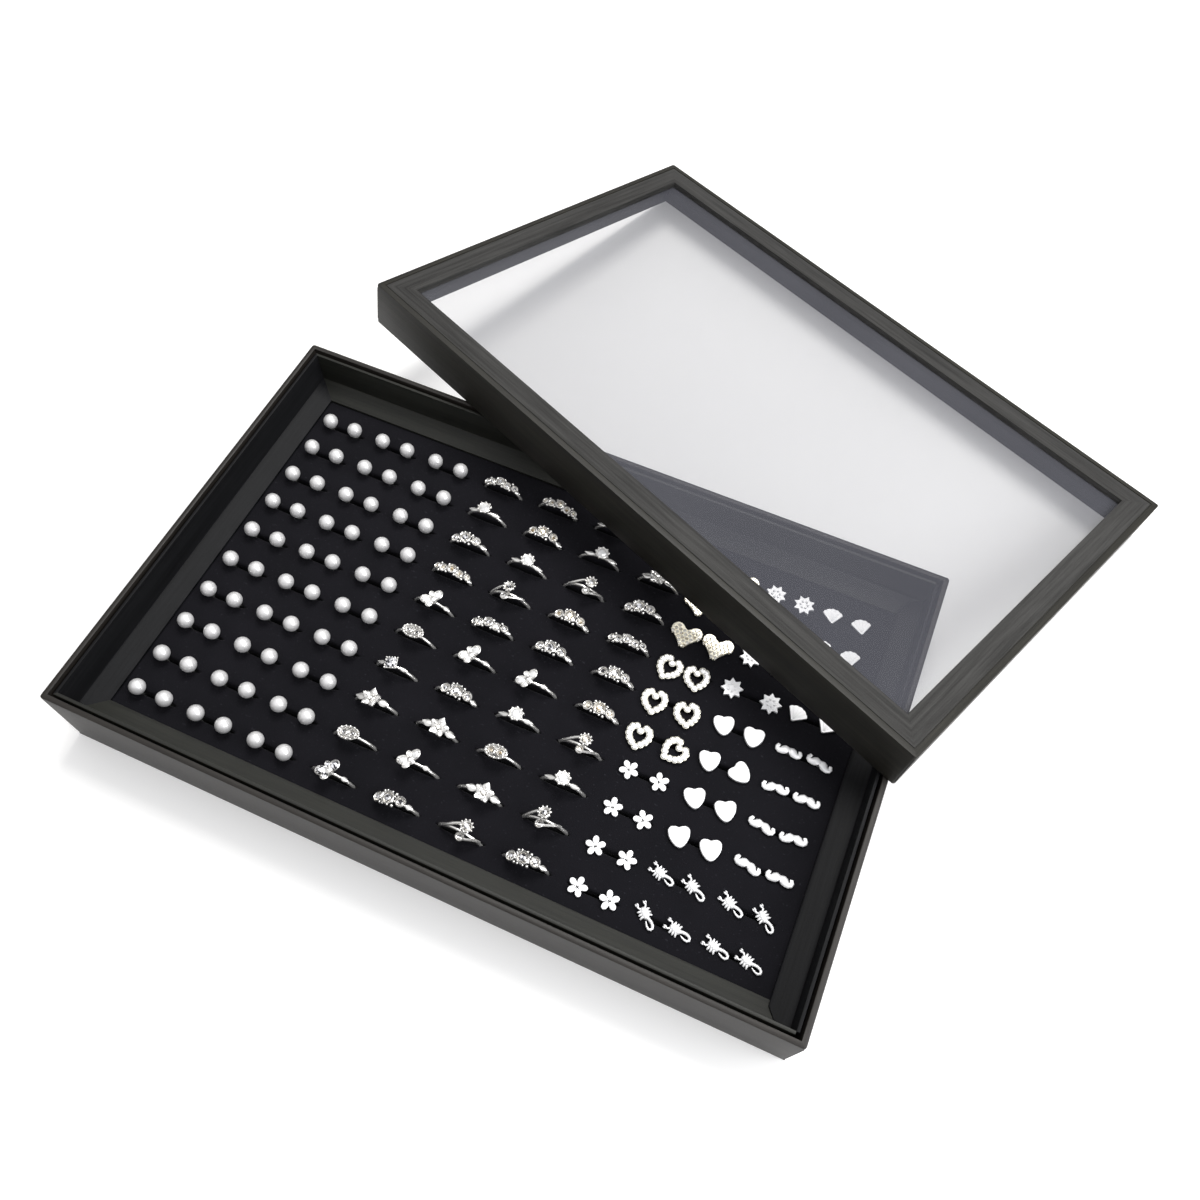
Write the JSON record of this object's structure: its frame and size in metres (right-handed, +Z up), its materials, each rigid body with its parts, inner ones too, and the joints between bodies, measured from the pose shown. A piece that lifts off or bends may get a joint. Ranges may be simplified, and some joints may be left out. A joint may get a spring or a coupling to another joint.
{
  "type": "ring display box",
  "caption": "Flat paper-covered jewellery box: a tray with a slit velvet pad holding rings and stud earrings, and a lift-off window lid leaning on its rim.",
  "frame": {"origin": "centre of the tray's underside", "axes": "+X along the tray's long side, towards the side with the small studs; +Y from the open front to the side the lid leans on; +Z up, away from the surface the tray stands on"},
  "size_m": [0.2914, 0.3081, 0.0441],
  "materials": {
    "board": "raw grey board",
    "stay_paper": "gummed kraft paper",
    "embossed_paper": "embossed, satin",
    "plain_paper": "matt",
    "collar_card": "covered with satin paper",
    "foam": "open foam",
    "velvet": "flocked velvet",
    "film": "clear film",
    "pearl": "pearlescent",
    "silver": "polished silver plate",
    "gilt": "pale gilt",
    "crystal": "cut crystal",
    "gold_crystal": "cut crystal, champagne"
  },
  "bodies": {
    "tray": {"floor_board": "board", "wall_board": "board", "corner_stays": "stay_paper", "base_wrap": "embossed_paper", "bottom_paper": "embossed_paper", "floor_paper": "plain_paper", "foam_pad": "foam", "velvet_face": "velvet", "collar_front": "collar_card", "collar_back": "collar_card", "collar_left": "collar_card", "collar_right": "collar_card", "pearl_beads": "pearl", "pearl_posts": "silver", "ring_bands": "silver", "ring_stones": "crystal", "flower_studs": "silver", "heart_studs": "silver", "open_heart_studs": "silver", "open_heart_stones": "crystal", "pave_heart_studs": "gilt", "pave_heart_stones": "gold_crystal", "moustache_studs": "silver", "scorpion_studs": "silver", "starburst_studs": "silver", "fan_studs": "silver"},
    "lid": {"lid_skirt_board": "board", "lid_top_board": "board", "lid_corner_stays": "stay_paper", "lid_skirt_wrap": "embossed_paper", "lid_top_wrap": "embossed_paper", "window_film": "film", "film_tape": "plain_paper"},
    "ring_1": {"ring_1": "silver", "ring_1_stones": "crystal"},
    "ring_2": {"ring_2": "silver", "ring_2_stones": "crystal"},
    "ring_3": {"ring_3": "silver", "ring_3_stones": "crystal"},
    "ring_4": {"ring_4": "silver", "ring_4_stones": "crystal"},
    "pearl_stud_1": {"pearl_stud_1_bead": "pearl", "pearl_stud_1_post": "silver"},
    "flower_stud_1": {"flower_stud_1": "silver"},
    "pearl_stud_2": {"pearl_stud_2_bead": "pearl", "pearl_stud_2_post": "silver"},
    "flower_stud_2": {"flower_stud_2": "silver"}
  },
  "joints": [
    {"name": "lid_lift", "type": "slide", "parent": "tray", "child": "lid", "axis": [0, 0, 1], "range_m": [0, 0.08]},
    {"name": "ring_1_lift", "type": "slide", "parent": "tray", "child": "ring_1", "axis": [0, 0, 1], "range_m": [0, 0.04]},
    {"name": "ring_2_lift", "type": "slide", "parent": "tray", "child": "ring_2", "axis": [0, 0, 1], "range_m": [0, 0.04]},
    {"name": "ring_3_lift", "type": "slide", "parent": "tray", "child": "ring_3", "axis": [0, 0, 1], "range_m": [0, 0.04]},
    {"name": "ring_4_lift", "type": "slide", "parent": "tray", "child": "ring_4", "axis": [0, 0, 1], "range_m": [0, 0.04]},
    {"name": "pearl_stud_1_lift", "type": "slide", "parent": "tray", "child": "pearl_stud_1", "axis": [0, 0, 1], "range_m": [0, 0.03]},
    {"name": "flower_stud_1_lift", "type": "slide", "parent": "tray", "child": "flower_stud_1", "axis": [0, 0, 1], "range_m": [0, 0.03]},
    {"name": "pearl_stud_2_lift", "type": "slide", "parent": "tray", "child": "pearl_stud_2", "axis": [0, 0, 1], "range_m": [0, 0.03]},
    {"name": "flower_stud_2_lift", "type": "slide", "parent": "tray", "child": "flower_stud_2", "axis": [0, 0, 1], "range_m": [0, 0.03]}
  ]
}
